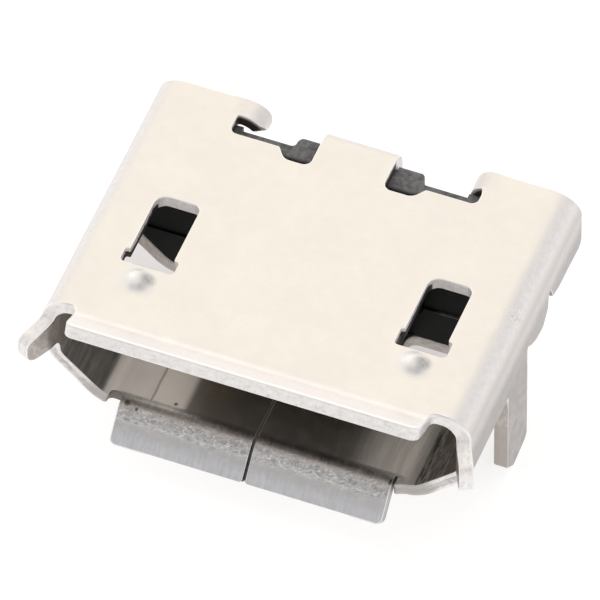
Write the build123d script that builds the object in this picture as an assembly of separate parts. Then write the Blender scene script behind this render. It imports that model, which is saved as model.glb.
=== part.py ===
from build123d import *
from math import sin, cos, tan, radians, hypot, acos, pi
import os

# Micro usb socket, type B, five contacts, for a board. Millimetres, +Z up.
# Lengths below are laid out with y = 0 near the mouth and y growing to the rear;
# every solid is then shifted by -Y_LEG, so that the origin lies on the board face
# of the shell, midway between the two legs, with the mouth towards -Y.

# ---------------------------------------------------------------- dimensions
T = 0.25            # sheet thickness
W = 7.50            # shell width over the side walls
H = 2.45            # shell height over the board face
BEVEL = 0.91        # run and rise of the 45 degree lower corners
R_TOP = 0.50        # outer bend radius, top corners
R_BEV_LO = 0.75     # outer bend radius, floor to bevel
R_BEV_HI = 0.50     # outer bend radius, bevel to side wall
Y_CORNER = -0.13    # front rim of the top and the side walls
Y_RIM = -0.05       # front rim of the bevels
Y_REAR = 5.04       # rear edge of the top plate
Y_WALL_REAR = 5.12  # rear edge of the side walls
Y_FLOOR_END = 4.49  # rear edge of the floor and its bevels

LIP_X0, LIP_X1 = -3.15, 3.07  # flared top lip
LIP_Y = -0.20
LIP_ANGLE = 26.0
LIP_R = 0.40
LIP_L = 0.38

EAR_Z0, EAR_Z1 = 1.31, 1.99   # flared side ears
EAR_TIP = {1: 1.91, -1: 1.80}   # height of the ears' upper corners
EAR_Y = 0.10
EAR_ANGLE = 27.0
EAR_R = 0.85
EAR_L = 0.441

FL_ROOT0, FL_ROOT1 = -2.45, 2.38  # lower flange, ends at its root
FL_X0, FL_X1 = -2.45, 2.38        # and at the tip
FL_ANGLE = 46.5
FL_R = 0.30
FL_L = 0.533
FL_Y = 0.07
RELIEF_X0, RELIEF_X1 = -2.68, 2.46  # small reliefs beside the flange's root
RELIEF_Y0, RELIEF_Y1 = 0.10, 0.09
SEAM_X, SEAM_GAP = -0.06, 0.034

WIN_X = 2.41        # latch windows
WIN_Y0, WIN_Y1 = 1.02, 2.60
WIN_HALF, WIN_ARM, WIN_ARM_Y = 0.40, 0.50, 1.30

BUMP_X, BUMP_Y = 2.44, 0.72   # pressed bumps
BUMP_R, BUMP_H = 0.30, 0.14

TAB_X0, TAB_X1 = -0.69, 0.615  # rear tab
TAB_BEND_Y = 4.62
TAB_R_OUT = 0.375
TAB_Z_END = 1.70
REAR_PLATE_Y = 4.27
NOTCH_Y = 4.05
ARM_Y0 = 4.65       # rear arms
ARM_SLOT_X = 2.19
ARMS = {1: (2.27, 0.22, 85.0, 0.16), -1: (2.14, 0.38, 58.0, 0.06)}   # bend start, mid radius, angle, straight tip

LEG_Y0, LEG_Y1 = 1.67, 2.58   # legs
LEG_Z = -1.05
OPEN_Y0, OPEN_Y1, OPEN_X = 1.62, 2.97, 1.50
OPEN_Z = 1.20       # top of the opening around the leg
EDGE_Z = 1.16       # lower free edge of the side walls at the rear
WING_Z = 0.74       # upper edge of the floor's rear wings

HOUSE_Y0, HOUSE_Y1 = 2.97, 4.54
HOUSE_STEP_Z, HOUSE_STEP = 1.02, 0.035
HOUSE_GAP = 0.02
BLOCK_HALF, BLOCK_Y = 1.13, 4.78
RECESS_Y = 4.72     # recess in the middle block for the tab
SIDE_BLOCK_X, SIDE_BLOCK_Y = {1: 1.93, -1: 2.08}, 4.63
TONGUE_HALF = 1.75
TONGUE_Z0, TONGUE_Z1 = 1.20, 1.80
TONGUE_Y = 0.85

PITCH = 0.65        # contacts
C_T = 0.15
C_Z = 1.17          # working face of the contacts on the tongue
C_Y0, C_Y1 = 1.00, 5.25
C_DROP_Y = 4.30
C_W_TONGUE, C_W_TAIL = 0.30, 0.40
C_WIDE_Y = 3.40

Y_LEG = (LEG_Y0 + LEG_Y1) / 2


# ------------------------------------------------------------------- helpers
def rounded_wire(points, to3d):
    """Closed wire through (a, b[, r]) corners, each corner rounded by r."""
    n = len(points)
    corners = []
    for i, p in enumerate(points):
        r = p[2] if len(p) > 2 else 0.0
        a = points[i - 1]
        c = points[(i + 1) % n]
        if r <= 0:
            corners.append(((p[0], p[1]), None, (p[0], p[1])))
            continue
        ux, uy = a[0] - p[0], a[1] - p[1]
        vx, vy = c[0] - p[0], c[1] - p[1]
        lu, lv = hypot(ux, uy), hypot(vx, vy)
        ux, uy, vx, vy = ux / lu, uy / lu, vx / lv, vy / lv
        ang = acos(max(-1.0, min(1.0, ux * vx + uy * vy)))
        if pi - ang < 1e-4:
            corners.append(((p[0], p[1]), None, (p[0], p[1])))
            continue
        d = r / tan(ang / 2)
        p1 = (p[0] + ux * d, p[1] + uy * d)
        p2 = (p[0] + vx * d, p[1] + vy * d)
        bx, by = ux + vx, uy + vy
        lb = hypot(bx, by)
        k = r / sin(ang / 2) - r
        mid = (p[0] + bx / lb * k, p[1] + by / lb * k)
        corners.append((p1, mid, p2))
    edges = []
    for i in range(n):
        start, mid, end = corners[i]
        if mid is not None:
            edges.append(Edge.make_three_point_arc(to3d(*start), to3d(*mid), to3d(*end)))
        nxt = corners[(i + 1) % n][0]
        if hypot(nxt[0] - end[0], nxt[1] - end[1]) > 1e-6:
            edges.append(Edge.make_line(to3d(*end), to3d(*nxt)))
    return Wire(edges)


def prism_xz(points, y0, y1):
    w = rounded_wire(points, lambda a, b: Vector(a, y0, b))
    return Solid.extrude(Face(w), Vector(0, y1 - y0, 0))


def prism_xy(points, z0, z1):
    w = rounded_wire(points, lambda a, b: Vector(a, b, z0))
    return Solid.extrude(Face(w), Vector(0, 0, z1 - z0))


def prism_yz(points, x0, x1):
    w = rounded_wire(points, lambda a, b: Vector(x0, a, b))
    return Solid.extrude(Face(w), Vector(x1 - x0, 0, 0))


def block(x0, x1, y0, y1, z0, z1):
    return prism_xy([(x0, y0), (x1, y0), (x1, y1), (x0, y1)], z0, z1)


def bent_strip(start, r_out, r_in, angle, length, back, t, to3d, sweep):
    """Plate of thickness t that runs along -a, then bends by angle towards +b.

    start is the (a, b) of its mid line where the bend begins, r_in the radius of
    the face on the inside of the bend, and back the straight run behind it."""
    a0, b0 = start
    g = radians(angle)
    ca, cb = a0, b0 + (r_in + r_out) / 2

    def on(r, ang):
        return (ca - r * sin(ang), cb - r * cos(ang))

    o0, om, o1 = on(r_out, 0), on(r_out, g / 2), on(r_out, g)
    i0, im, i1 = on(r_in, 0), on(r_in, g / 2), on(r_in, g)
    dx, dy = -length * cos(g), length * sin(g)
    o2 = (o1[0] + dx, o1[1] + dy)
    i2 = (i1[0] + dx, i1[1] + dy)
    ob = (o0[0] + back, o0[1])
    ib = (i0[0] + back, i0[1])
    e = [
        Edge.make_line(to3d(*ob), to3d(*o0)),
        Edge.make_three_point_arc(to3d(*o0), to3d(*om), to3d(*o1)),
        Edge.make_line(to3d(*o1), to3d(*o2)),
        Edge.make_line(to3d(*o2), to3d(*i2)),
        Edge.make_line(to3d(*i2), to3d(*i1)),
        Edge.make_three_point_arc(to3d(*i1), to3d(*im), to3d(*i0)),
        Edge.make_line(to3d(*i0), to3d(*ib)),
        Edge.make_line(to3d(*ib), to3d(*ob)),
    ]
    return Solid.extrude(Face(Wire(e)), sweep)


def both(make):
    """The right-hand tool and its mirror image about x = 0."""
    s = make()
    return [s, s.mirror(Plane.YZ)]


def single(shape):
    solids = shape.solids()
    if len(solids) != 1:
        raise SystemExit(f"expected one solid, got {len(solids)}: {[round(s.volume, 4) for s in solids]}")
    return solids[0]


def place(shape):
    return single(shape).moved(Location((0, -Y_LEG, 0)))


# --------------------------------------------------------------------- shell
X = W / 2
k225 = tan(radians(22.5))
outer = [
    (X - BEVEL, 0, R_BEV_LO), (X, BEVEL, R_BEV_HI), (X, H, R_TOP),
    (-X, H, R_TOP), (-X, BEVEL, R_BEV_HI), (-X + BEVEL, 0, R_BEV_LO),
]
ix, ib = X - T, BEVEL + T * k225
inner = [
    (X - BEVEL - T * k225, T, R_BEV_LO - T), (ix, ib, R_BEV_HI - T), (ix, H - T, R_TOP - T),
    (-ix, H - T, R_TOP - T), (-ix, ib, R_BEV_HI - T), (-X + BEVEL + T * k225, T, R_BEV_LO - T),
]
shell = prism_xz(outer, Y_CORNER, 5.3) - prism_xz(inner, Y_CORNER - 0.1, 5.4)

# front rim: the bevels stop a little behind the walls, the floor behind the flange
shell -= block(-5, 5, -1.0, Y_RIM, -1.0, EAR_Z0)
shell -= prism_xy([(RELIEF_X0, -1.0), (RELIEF_X1, -1.0), (RELIEF_X1, RELIEF_Y1, 0.03), (FL_ROOT1, RELIEF_Y1),
                   (FL_ROOT1, FL_Y), (FL_ROOT0, FL_Y), (FL_ROOT0, RELIEF_Y0), (RELIEF_X0, RELIEF_Y0, 0.10)],
                  -1.0, 0.6)

# flared top lip, with its corners and the rounded roots of the corner notches
lip = bent_strip((LIP_Y, H - T / 2), LIP_R + T / 2, LIP_R - T / 2, LIP_ANGLE, LIP_L, 0.3, T,
                 lambda a, b: Vector(-3.24, a, b), Vector(6.48, 0, 0))
lip = lip & prism_xy([
    (-3.24, 0.1), (-3.24, Y_CORNER), (LIP_X0, Y_CORNER, 0.08), (LIP_X0, -0.78, 0.16),
    (LIP_X1, -0.78, 0.16), (LIP_X1, Y_CORNER, 0.12), (3.24, Y_CORNER), (3.24, 0.1)], 1.5, 3.2)
shell += lip


# flared side ears
def ear(side):
    # the wall runs along -y and bends towards +x: (a, b) is (y, x)
    s = bent_strip((EAR_Y, X - T / 2), EAR_R + T / 2, EAR_R - T / 2, EAR_ANGLE, EAR_L, 0.1, T,
                   lambda a, b: Vector(b, a, 1.20), Vector(0, 0, 0.86))
    return s & prism_yz([
        (0.2, 1.20), (Y_RIM, 1.20), (Y_RIM, EAR_Z0, 0.05), (-0.78, EAR_Z0, 0.24),
        (-0.78, EAR_TIP[side], 0.16), (Y_CORNER, EAR_Z1, 0.05), (Y_CORNER, 2.05), (0.2, 2.05)], 3.0, 4.5)


shell += ear(1)
shell += ear(-1).mirror(Plane.YZ)

# lower flange, bent down in front of the board
fl = bent_strip((FL_Y, -T / 2), FL_R + T / 2, FL_R - T / 2, FL_ANGLE, FL_L, 0.2, T,
                lambda a, b: Vector(-3, a, -b), Vector(6, 0, 0))
fl = fl & prism_xy([
    (FL_ROOT0, 0.5), (FL_ROOT0, FL_Y), (FL_X0, -0.62, 0.10), (FL_X1, -0.62, 0.10),
    (FL_ROOT1, FL_Y), (FL_ROOT1, 0.5)], -1.0, 0.6)
shell += fl
shell -= block(SEAM_X - SEAM_GAP / 2, SEAM_X + SEAM_GAP / 2, -1.0, 5.2, -1.0, 0.6)

# pressed bumps, hollow underneath
rho = (BUMP_R ** 2 + BUMP_H ** 2) / (2 * BUMP_H)
for sx in (-1, 1):
    ball = Solid.make_sphere(rho).moved(Location((sx * BUMP_X, BUMP_Y, H + BUMP_H - rho)))
    shell += ball & block(sx * BUMP_X - 0.5, sx * BUMP_X + 0.5, 0.2, 1.3, H - 0.05, H + 0.5)
    shell -= Solid.make_sphere(0.20).moved(Location((sx * BUMP_X, BUMP_Y, H - T - 0.04)))


# latch windows
def window():
    x = WIN_X
    return prism_xy([
        (x - WIN_ARM, WIN_Y0, 0.05), (x + WIN_ARM, WIN_Y0, 0.05),
        (x + WIN_ARM, WIN_ARM_Y, 0.06), (x + WIN_HALF, WIN_ARM_Y, 0.04),
        (x + WIN_HALF, WIN_Y1, 0.13), (x - WIN_HALF, WIN_Y1, 0.13),
        (x - WIN_HALF, WIN_ARM_Y, 0.04), (x - WIN_ARM, WIN_ARM_Y, 0.06)], 1.5, 3.2)


for s in both(window):
    shell -= s


# rear of the top plate: a notch each side of the tab, and the slot before each arm
def rear_cut(tab_x, arm_x):
    return prism_xy([
        (tab_x, NOTCH_Y, 0.14), (1.14, NOTCH_Y, 0.20), (1.30, REAR_PLATE_Y, 0.06),
        (ARM_SLOT_X, REAR_PLATE_Y, 0.12), (ARM_SLOT_X, ARM_Y0, 0.04),
        (arm_x, ARM_Y0), (arm_x, 5.5), (tab_x, 5.5)], 1.9, 3.0)


shell -= rear_cut(TAB_X1, ARMS[1][0])
shell -= rear_cut(-TAB_X0, ARMS[-1][0]).mirror(Plane.YZ)

# rear tab, folded down behind the body
shell -= block(-1.2, 1.2, TAB_BEND_Y, 5.5, 1.9, 3.0)
r_mid = TAB_R_OUT - T / 2
tab = bent_strip((-TAB_BEND_Y, -(H - T / 2)), TAB_R_OUT, TAB_R_OUT - T, 90, H - TAB_R_OUT - TAB_Z_END, 0.2, T,
                 lambda a, b: Vector(TAB_X0, -a, -b), Vector(TAB_X1 - TAB_X0, 0, 0))
tab = tab & prism_xz([
    (TAB_X0, 3.0), (TAB_X1, 3.0), (TAB_X1, TAB_Z_END, 0.15), (TAB_X0, TAB_Z_END, 0.15)], 4.0, 5.3)
shell += tab


# rear arms: their tips curl down
def arm(side):
    start, r, angle, straight = ARMS[side]
    return bent_strip((start, -(H - T / 2)), r + T / 2, r - T / 2, angle, straight, 0.3, T,
                      lambda a, b: Vector(a, ARM_Y0, -b), Vector(0, Y_REAR - ARM_Y0, 0))


# rear edge: the side walls stand a little further back than the top plate
shell -= prism_yz([(Y_WALL_REAR, 1.95), (Y_REAR, 2.32), (Y_REAR, 3.2), (5.6, 3.2), (5.6, 1.95)], -5, 5)
shell += arm(1)
shell += arm(-1).mirror(Plane.YZ)


# side openings, legs and free edges
def opening():
    return prism_xy([(OPEN_X, OPEN_Y0, 0.20), (4.2, OPEN_Y0), (4.2, OPEN_Y1), (OPEN_X, OPEN_Y1, 0.20)],
                    -0.5, 0.80)


def leg_slot():
    return block(3.0, 4.2, OPEN_Y0, LEG_Y1, 0.70, OPEN_Z)


for s in both(opening) + both(leg_slot):
    shell -= s


def free_edge():
    return prism_yz([
        (LEG_Y1, WING_Z), (LEG_Y1, 1.47, 0.04), (2.68, 1.22, 0.15), (2.95, 1.08, 0.20), (3.30, 1.02, 0.12),
        (3.54, 1.28, 0.10), (3.57, 1.58, 0.04), (3.66, 1.58, 0.04), (3.74, 1.32, 0.08), (4.00, 1.24, 0.20),
        (Y_WALL_REAR, EDGE_Z, 0.18), (Y_WALL_REAR, 1.95), (5.6, 1.95), (5.6, WING_Z)], 3.0, 4.2)


for s in both(free_edge):
    shell -= s

shell -= block(-5, 5, Y_FLOOR_END, 5.6, -0.5, 1.0)
shell -= prism_xy([(-1.80, 5.3), (-1.80, 4.10, 0.15), (1.80, 4.10, 0.15), (1.80, 5.3)], -0.5, 0.6)


def leg():
    return prism_yz([
        (LEG_Y0, 1.5), (LEG_Y0, -0.80, 0.08), (1.95, LEG_Z, 0.08), (LEG_Y1, LEG_Z + 0.10, 0.16), (LEG_Y1, 1.5)],
        X - T, X)


for s in both(leg):
    shell += s

# ------------------------------------------------------------------ contacts
def contact(i):
    x = PITCH * i
    z1 = C_Z + C_T
    ro, ri = 0.25, 0.10
    prof = [
        (C_Y0, C_Z), (C_DROP_Y - C_T / 2, C_Z, ri), (C_DROP_Y - C_T / 2, 0, ro),
        (C_Y1, 0, 0.03), (C_Y1, C_T, 0.03),
        (C_DROP_Y + C_T / 2, C_T, ri), (C_DROP_Y + C_T / 2, z1, ro), (C_Y0, z1)]
    narrow = prism_yz(prof, x - C_W_TONGUE / 2, x + C_W_TONGUE / 2)
    wide = prism_yz(prof, x - C_W_TAIL / 2, x + C_W_TAIL / 2) & block(x - 1, x + 1, C_WIDE_Y, 6, -1, 2)
    return single(narrow + wide)


contacts = [contact(i) for i in (-2, -1, 0, 1, 2)]

# ------------------------------------------------------------------- housing
g = HOUSE_GAP
house_section = [
    (X - BEVEL - T * k225 - g, T, 0.50), (ix - g, ib + g * 0.4, 0.28), (ix - g, H - T, 0.28),
    (-ix + g, H - T, 0.28), (-ix + g, ib + g * 0.4, 0.28), (-X + BEVEL + T * k225 + g, T, 0.50),
]
housing = prism_xz(house_section, HOUSE_Y0, HOUSE_Y1)
# the upper part of the front face stands a little further back
housing -= block(-4, 4, HOUSE_Y0 - 0.1, HOUSE_Y0 + HOUSE_STEP, HOUSE_STEP_Z, 3.0)
# middle block at the rear, its top edge rounded to sit inside the tab's bend
mid_block = prism_xy([
    (-BLOCK_HALF - 0.3, 4.0), (-BLOCK_HALF - 0.3, HOUSE_Y1), (-BLOCK_HALF, HOUSE_Y1, 0.08),
    (-BLOCK_HALF, BLOCK_Y, 0.15), (BLOCK_HALF, BLOCK_Y, 0.15), (BLOCK_HALF, HOUSE_Y1, 0.08),
    (BLOCK_HALF + 0.3, HOUSE_Y1), (BLOCK_HALF + 0.3, 4.0)], T, H - T)
mid_block = mid_block & prism_yz([(3.9, T), (BLOCK_Y, T), (BLOCK_Y, H - T, 0.05), (3.9, H - T)], -2, 2)
# recess for the tab, its top edge rounded to sit inside the tab's bend
mid_block -= prism_yz([(RECESS_Y, T - 0.1), (RECESS_Y, H - T, 0.12), (RECESS_Y - 0.3, H - T), (RECESS_Y - 0.3, H),
                       (5.2, H), (5.2, T - 0.1)], TAB_X0 - 0.03, TAB_X1 + 0.025)
housing += mid_block
# outer blocks at the rear, under the arms' roots
for sx in (-1, 1):
    x0, x1 = sorted((sx * SIDE_BLOCK_X[sx], sx * 3.20))
    housing += block(x0, x1, HOUSE_Y1 - 0.2, SIDE_BLOCK_Y, 0.95, H - T)
# tongue
tongue = prism_xy([
    (-TONGUE_HALF, 3.3), (-TONGUE_HALF, TONGUE_Y, 0.15), (TONGUE_HALF, TONGUE_Y, 0.15), (TONGUE_HALF, 3.3)],
    TONGUE_Z0, TONGUE_Z1)
tongue = tongue & prism_yz([
    (3.3, TONGUE_Z0), (3.3, TONGUE_Z1), (TONGUE_Y, TONGUE_Z1, 0.14), (TONGUE_Y, TONGUE_Z0, 0.14)], -3, 3)
housing += tongue
# step under the tongue where it leaves the body
housing += prism_yz([(2.79, TONGUE_Z0 + 0.1), (2.79, 1.06, 0.06), (3.2, 0.80), (3.2, TONGUE_Z0 + 0.1)],
                    -TONGUE_HALF, TONGUE_HALF)
for c in contacts:
    housing -= c
# clearance above the solder tails
housing -= block(-1.80, 1.80, C_DROP_Y + C_T / 2 + 0.05, 5.0, 0.0, 0.42)

os.makedirs("parts", exist_ok=True)
export_step(place(shell), "parts/shell.step")
export_step(place(housing), "parts/housing.step")
for n, c in enumerate(contacts, 1):
    export_step(place(c), f"parts/contact_{n}.step")
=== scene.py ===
import math

import bpy
import numpy as np
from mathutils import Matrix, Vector
from mathutils.geometry import delaunay_2d_cdt
from mathutils.kdtree import KDTree


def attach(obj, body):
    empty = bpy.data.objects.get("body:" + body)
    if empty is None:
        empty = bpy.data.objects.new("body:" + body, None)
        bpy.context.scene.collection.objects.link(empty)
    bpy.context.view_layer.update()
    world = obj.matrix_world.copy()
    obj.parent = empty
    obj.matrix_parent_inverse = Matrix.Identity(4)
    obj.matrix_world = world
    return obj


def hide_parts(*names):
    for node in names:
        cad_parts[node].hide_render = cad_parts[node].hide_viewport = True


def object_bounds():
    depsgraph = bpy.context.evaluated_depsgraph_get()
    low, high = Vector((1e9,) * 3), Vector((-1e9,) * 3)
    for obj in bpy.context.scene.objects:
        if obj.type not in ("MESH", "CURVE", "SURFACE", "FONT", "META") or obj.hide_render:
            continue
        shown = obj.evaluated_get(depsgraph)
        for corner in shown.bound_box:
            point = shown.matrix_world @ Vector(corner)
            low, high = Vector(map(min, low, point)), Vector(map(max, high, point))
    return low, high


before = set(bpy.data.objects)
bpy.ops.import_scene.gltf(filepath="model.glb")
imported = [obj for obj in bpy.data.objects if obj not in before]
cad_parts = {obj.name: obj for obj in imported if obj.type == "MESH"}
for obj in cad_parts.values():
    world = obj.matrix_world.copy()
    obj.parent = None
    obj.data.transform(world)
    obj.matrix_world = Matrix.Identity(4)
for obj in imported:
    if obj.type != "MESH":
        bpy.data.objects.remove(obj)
CAD_BOX = [list(v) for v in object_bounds()]
MM = 0.001
scene = bpy.context.scene

# =====================================================================
# Sizes, in millimetres. y = 0 near the mouth here; the frame's y is this less Y_LEG.
# =====================================================================
T, W, H = 0.25, 7.50, 2.45
BEVEL, R_TOP, R_LO, R_HI = 0.91, 0.50, 0.75, 0.50
Y_CORNER, Y_RIM, Y_REAR, Y_WALL_REAR, Y_FLOOR_END = -0.13, -0.05, 5.04, 5.12, 4.49
Y_LEG = 2.125
SEAM_X, SEAM_GAP = -0.06, 0.034
X = W / 2
K = math.tan(math.radians(22.5))
M = T / 2

# the sheet's middle line, unrolled from the middle of the top plate
A1 = X - R_TOP                                   # end of the flat top
A2 = A1 + (R_TOP - M) * math.pi / 2              # start of the side wall
WALL_Z = H - R_TOP
Z_HI = BEVEL + R_HI * K
A3 = A2 + WALL_Z - Z_HI                          # end of the side wall
A4 = A3 + (R_HI - M) * math.pi / 4               # start of the bevel
A5 = A4 + BEVEL * math.sqrt(2) - (R_HI + R_LO) * K
A6 = A5 + (R_LO - M) * math.pi / 4               # start of the floor
X_LO = X - BEVEL - R_LO * K

LIP_Y, LIP_R, LIP_G, LIP_L = -0.20, 0.40, 26.0, 0.38
EAR_Y, EAR_R, EAR_G, EAR_L = 0.10, 0.85, 27.0, 0.441
EAR_Z0, EAR_Z1 = 1.31, 1.99
EAR_TIP = {1: 1.91, -1: 1.80}
FL_Y, FL_R, FL_G, FL_L = 0.07, 0.30, 46.5, 0.533
TAB_Y, TAB_R, TAB_G = 4.62, 0.25, 90.0
TAB_L = H - 0.375 - 1.70
ARMS = {1: (2.27, 0.22, 85.0, 0.16), -1: (2.14, 0.38, 58.0, 0.06)}   # start, mid radius, angle, straight tip
FL_ROOT = {1: 2.38, -1: 2.45}
FL_TIP = {1: 2.38, -1: 2.45}
RELIEF = {1: (2.41, 0.09, 0.012), -1: (2.68, 0.10, 0.090)}   # outer end, bottom, radius
LIP_X = {1: 3.07, -1: 3.15}
TAB_X = {1: 0.615, -1: 0.69}


def wall_s(z):
    """Unrolled place of a height on the straight side wall."""
    return A2 + WALL_Z - z


def floor_s(x):
    return A6 + X_LO - x


def tip(y0, r, g, l, sign=-1):
    return y0 + sign * (r * math.radians(g) + l)


# ---------------------------------------------------------------- outline
def half_outline(side):
    """Corners (s, t, r) of one half of the blank, from the lip round to the rear tab."""
    seam = floor_s((SEAM_X * side) + SEAM_GAP / 2)
    e0, e1 = wall_s(EAR_Z1), wall_s(EAR_Z0)
    relief_x, relief_y, relief_r = RELIEF[side]
    relief = A6 - math.asin((relief_x - X_LO) / (R_LO - M)) * (R_LO - M) if relief_x > X_LO else floor_s(relief_x)
    root, fl_tip = floor_s(FL_ROOT[side]), floor_s(FL_TIP[side])
    top_open = wall_s(1.05)
    wing = A4 + 0.158
    arm_x, arm_r, arm_g, arm_l = ARMS[side]
    arm = arm_x - arm_r * math.radians(arm_g) - arm_l
    lip_x, tab_x = LIP_X[side], TAB_X[side]
    return [
        (lip_x, tip(LIP_Y, LIP_R, LIP_G, LIP_L), 0.16),
        (lip_x, Y_CORNER, 0.12 if side > 0 else 0.09),
        (e0, Y_CORNER, 0.11),
        (wall_s(EAR_TIP[side]), tip(EAR_Y, EAR_R, EAR_G, EAR_L), 0.16),
        (e1, tip(EAR_Y, EAR_R, EAR_G, EAR_L), 0.24),
        (e1, Y_RIM, 0.08),
        *([(A6 - 0.06, Y_RIM, 0.20), (relief, -0.13, 0.040)] if side > 0 else [(relief, Y_RIM, 0.050)]),
        (relief, relief_y, relief_r),
        (root, relief_y, min(relief_r, 0.062)),
        (fl_tip, tip(FL_Y, FL_R, FL_G, FL_L), 0.11),
        (seam, tip(FL_Y, FL_R, FL_G, FL_L), 0.06),
        (seam, 4.10, 0.07),
        (floor_s(1.80), 4.10, 0.15),
        (floor_s(1.80), Y_FLOOR_END, 0.07),
        (wing, Y_FLOOR_END, 0.07),
        (wing, 2.97, 0.07),
        (floor_s(1.50), 2.97, 0.20),
        (floor_s(1.50), 1.62, 0.20),
        (top_open, 1.62, 0.024),
        (top_open, 1.67, 0.024),
        (wall_s(-0.80), 1.67, 0.08),
        (wall_s(-1.05), 1.95, 0.08),
        (wall_s(-0.95), 2.58, 0.16),
        (wall_s(1.47), 2.58, 0.04),
        (wall_s(1.22), 2.68, 0.15),
        (wall_s(1.08), 2.95, 0.20),
        (wall_s(1.02), 3.30, 0.12),
        (wall_s(1.28), 3.54, 0.10),
        (wall_s(1.58), 3.57, 0.04),
        (wall_s(1.58), 3.66, 0.04),
        (wall_s(1.32), 3.74, 0.08),
        (wall_s(1.24), 4.00, 0.20),
        (wall_s(1.16), Y_WALL_REAR, 0.18),
        (A2, Y_WALL_REAR, 0.50),
        (A1 + 0.16, Y_REAR, 0.50),
        (arm, Y_REAR, 0.16),
        (arm, 4.65, 0.17),
        (2.19, 4.65, 0.04),
        (2.19, 4.27, 0.12),
        (1.30, 4.27, 0.06),
        (1.14, 4.05, 0.20),
        (tab_x, 4.05, 0.14),
        (tab_x, tip(TAB_Y, TAB_R, TAB_G, TAB_L, 1), 0.15),
    ]


right = half_outline(1)
left = [(-s, t, r) for s, t, r in reversed(half_outline(-1))]
OUTLINE = right + left

# left end, right end, ends of the front slot, front, back of the slot, rear, radii of the rear corners
WINDOWS = {
    -1: (-2.785, -2.02, -2.865, -1.925, 1.07, 1.34, 2.585, 0.20, 0.13),
    1: (2.05, 2.80, 1.985, 2.885, 1.03, 1.37, 2.570, 0.20, 0.14),
}


def window(side):
    x0, x1, a0, a1, y0, ym, y1, rl, rr = WINDOWS[side]
    return [(a0, y0, 0.06), (a1, y0, 0.09), (a1, ym, 0.035), (x1, ym, 0.05),
            (x1, y1, rr), (x0, y1, rl), (x0, ym, 0.03), (a0, ym, 0.033)]


def walk(corners, step, hole=False):
    """Points and outward normals along a closed line of rounded corners."""
    c = list(corners)
    area = sum(c[i - 1][0] * c[i][1] - c[i][0] * c[i - 1][1] for i in range(len(c)))
    if (area < 0) != hole:
        c.reverse()
    n = len(c)
    arcs = []
    for i in range(n):
        p = np.array(c[i][:2])
        a = np.array(c[i - 1][:2]) - p
        b = np.array(c[(i + 1) % n][:2]) - p
        a /= np.linalg.norm(a)
        b /= np.linalg.norm(b)
        ang = math.acos(max(-1.0, min(1.0, float(a @ b))))
        r = c[i][2]
        d = r / math.tan(ang / 2)
        bis = (a + b) / np.linalg.norm(a + b)
        centre = p + bis * (r / math.sin(ang / 2))
        arcs.append((p + a * d, p + b * d, centre, r))
    pts, nrm, dist = [], [], []
    total = 0.0
    for i in range(n):
        p1, p2, centre, r = arcs[i]
        q1 = arcs[(i + 1) % n][0]
        g1 = math.atan2(*(p1 - centre)[::-1])
        g2 = math.atan2(*(p2 - centre)[::-1])
        turn = (g2 - g1 + math.pi) % (2 * math.pi) - math.pi
        k = max(3, int(math.ceil(abs(turn) / math.radians(13))), int(math.ceil(abs(turn) * r / step)))
        convex = turn > 0
        for j in range(k):
            g = g1 + turn * j / k
            o = np.array([math.cos(g), math.sin(g)])
            pts.append(centre + o * r)
            nrm.append(o if convex else -o)
            dist.append(total + abs(turn) * r * j / k)
        total += abs(turn) * r
        length = np.linalg.norm(q1 - p2)
        along = (q1 - p2) / max(length, 1e-9)
        o = np.array([along[1], -along[0]])
        if length < 1e-4:
            o = (p2 - centre) / r if convex else (centre - p2) / r
        k = max(1, int(math.ceil(length / step)))
        for j in range(k):
            pts.append(p2 + along * (length * j / k))
            nrm.append(o)
            dist.append(total + length * j / k)
        total += length
    pts, nrm, dist = np.array(pts), np.array(nrm), np.array(dist)
    gap = np.linalg.norm(pts - np.roll(pts, 1, 0), axis=1)
    keep = gap > 1e-5
    return pts[keep], nrm[keep], dist[keep]


# ------------------------------------------------------------------- fold
def lift(s, t, outer):
    """How far the faces of the sheet stand off from a flat blank: pressed domes and small unevenness."""
    a = np.abs(s)
    r = np.hypot(a - 2.44, t - 0.74)
    dome = np.where(outer, 0.105 * np.exp(-(r / 0.225) ** 2.6), 0.11 * np.exp(-(r / 0.17) ** 3))
    near = (a < 3.0) & (t > 0.1) & (t < 1.4)
    out = np.where(near, dome, 0.0)
    # very shallow unevenness of the rolled and folded sheet
    top = a < 3.3
    out = out + np.where(top, 0.0035 * np.sin(0.9 * s + 0.4) * np.sin(0.8 * t + 1.0), 0.0)
    # the sheet draws in a little beside the windows and is dinted at the corner fold
    out = out - 0.010 * np.exp(-((s - 3.42) ** 2) / 0.012 - ((t - 1.72) ** 2) / 0.02)
    out = out - 0.006 * np.exp(-((s - 3.62) ** 2) / 0.02 - ((t - 3.1) ** 2) / 0.06)
    return out


def classify(s, t):
    a = np.abs(s)
    reg = np.zeros(len(s), int)
    reg[(a < 3.35) & (t < LIP_Y)] = 1
    reg[(a > wall_s(EAR_Z1) - 0.3) & (a < wall_s(EAR_Z0) + 0.3) & (t < EAR_Y)] = 2
    slit = np.where(s < 0, 6.20, 6.361)
    reg[(a > slit) & (t < FL_Y)] = 3
    reg[(a < slit) & (a > 4.6) & (t < 0.10)] = 0
    reg[(a < 0.95) & (t > TAB_Y)] = 4
    reg[(a > 1.2) & (a < np.where(s < 0, ARMS[-1][0], ARMS[1][0])) & (t > 4.46)] = 5
    reg[(a > wall_s(1.25)) & (a < 7.0) & (t > 1.64) & (t < 2.63)] = 6
    return reg


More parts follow.
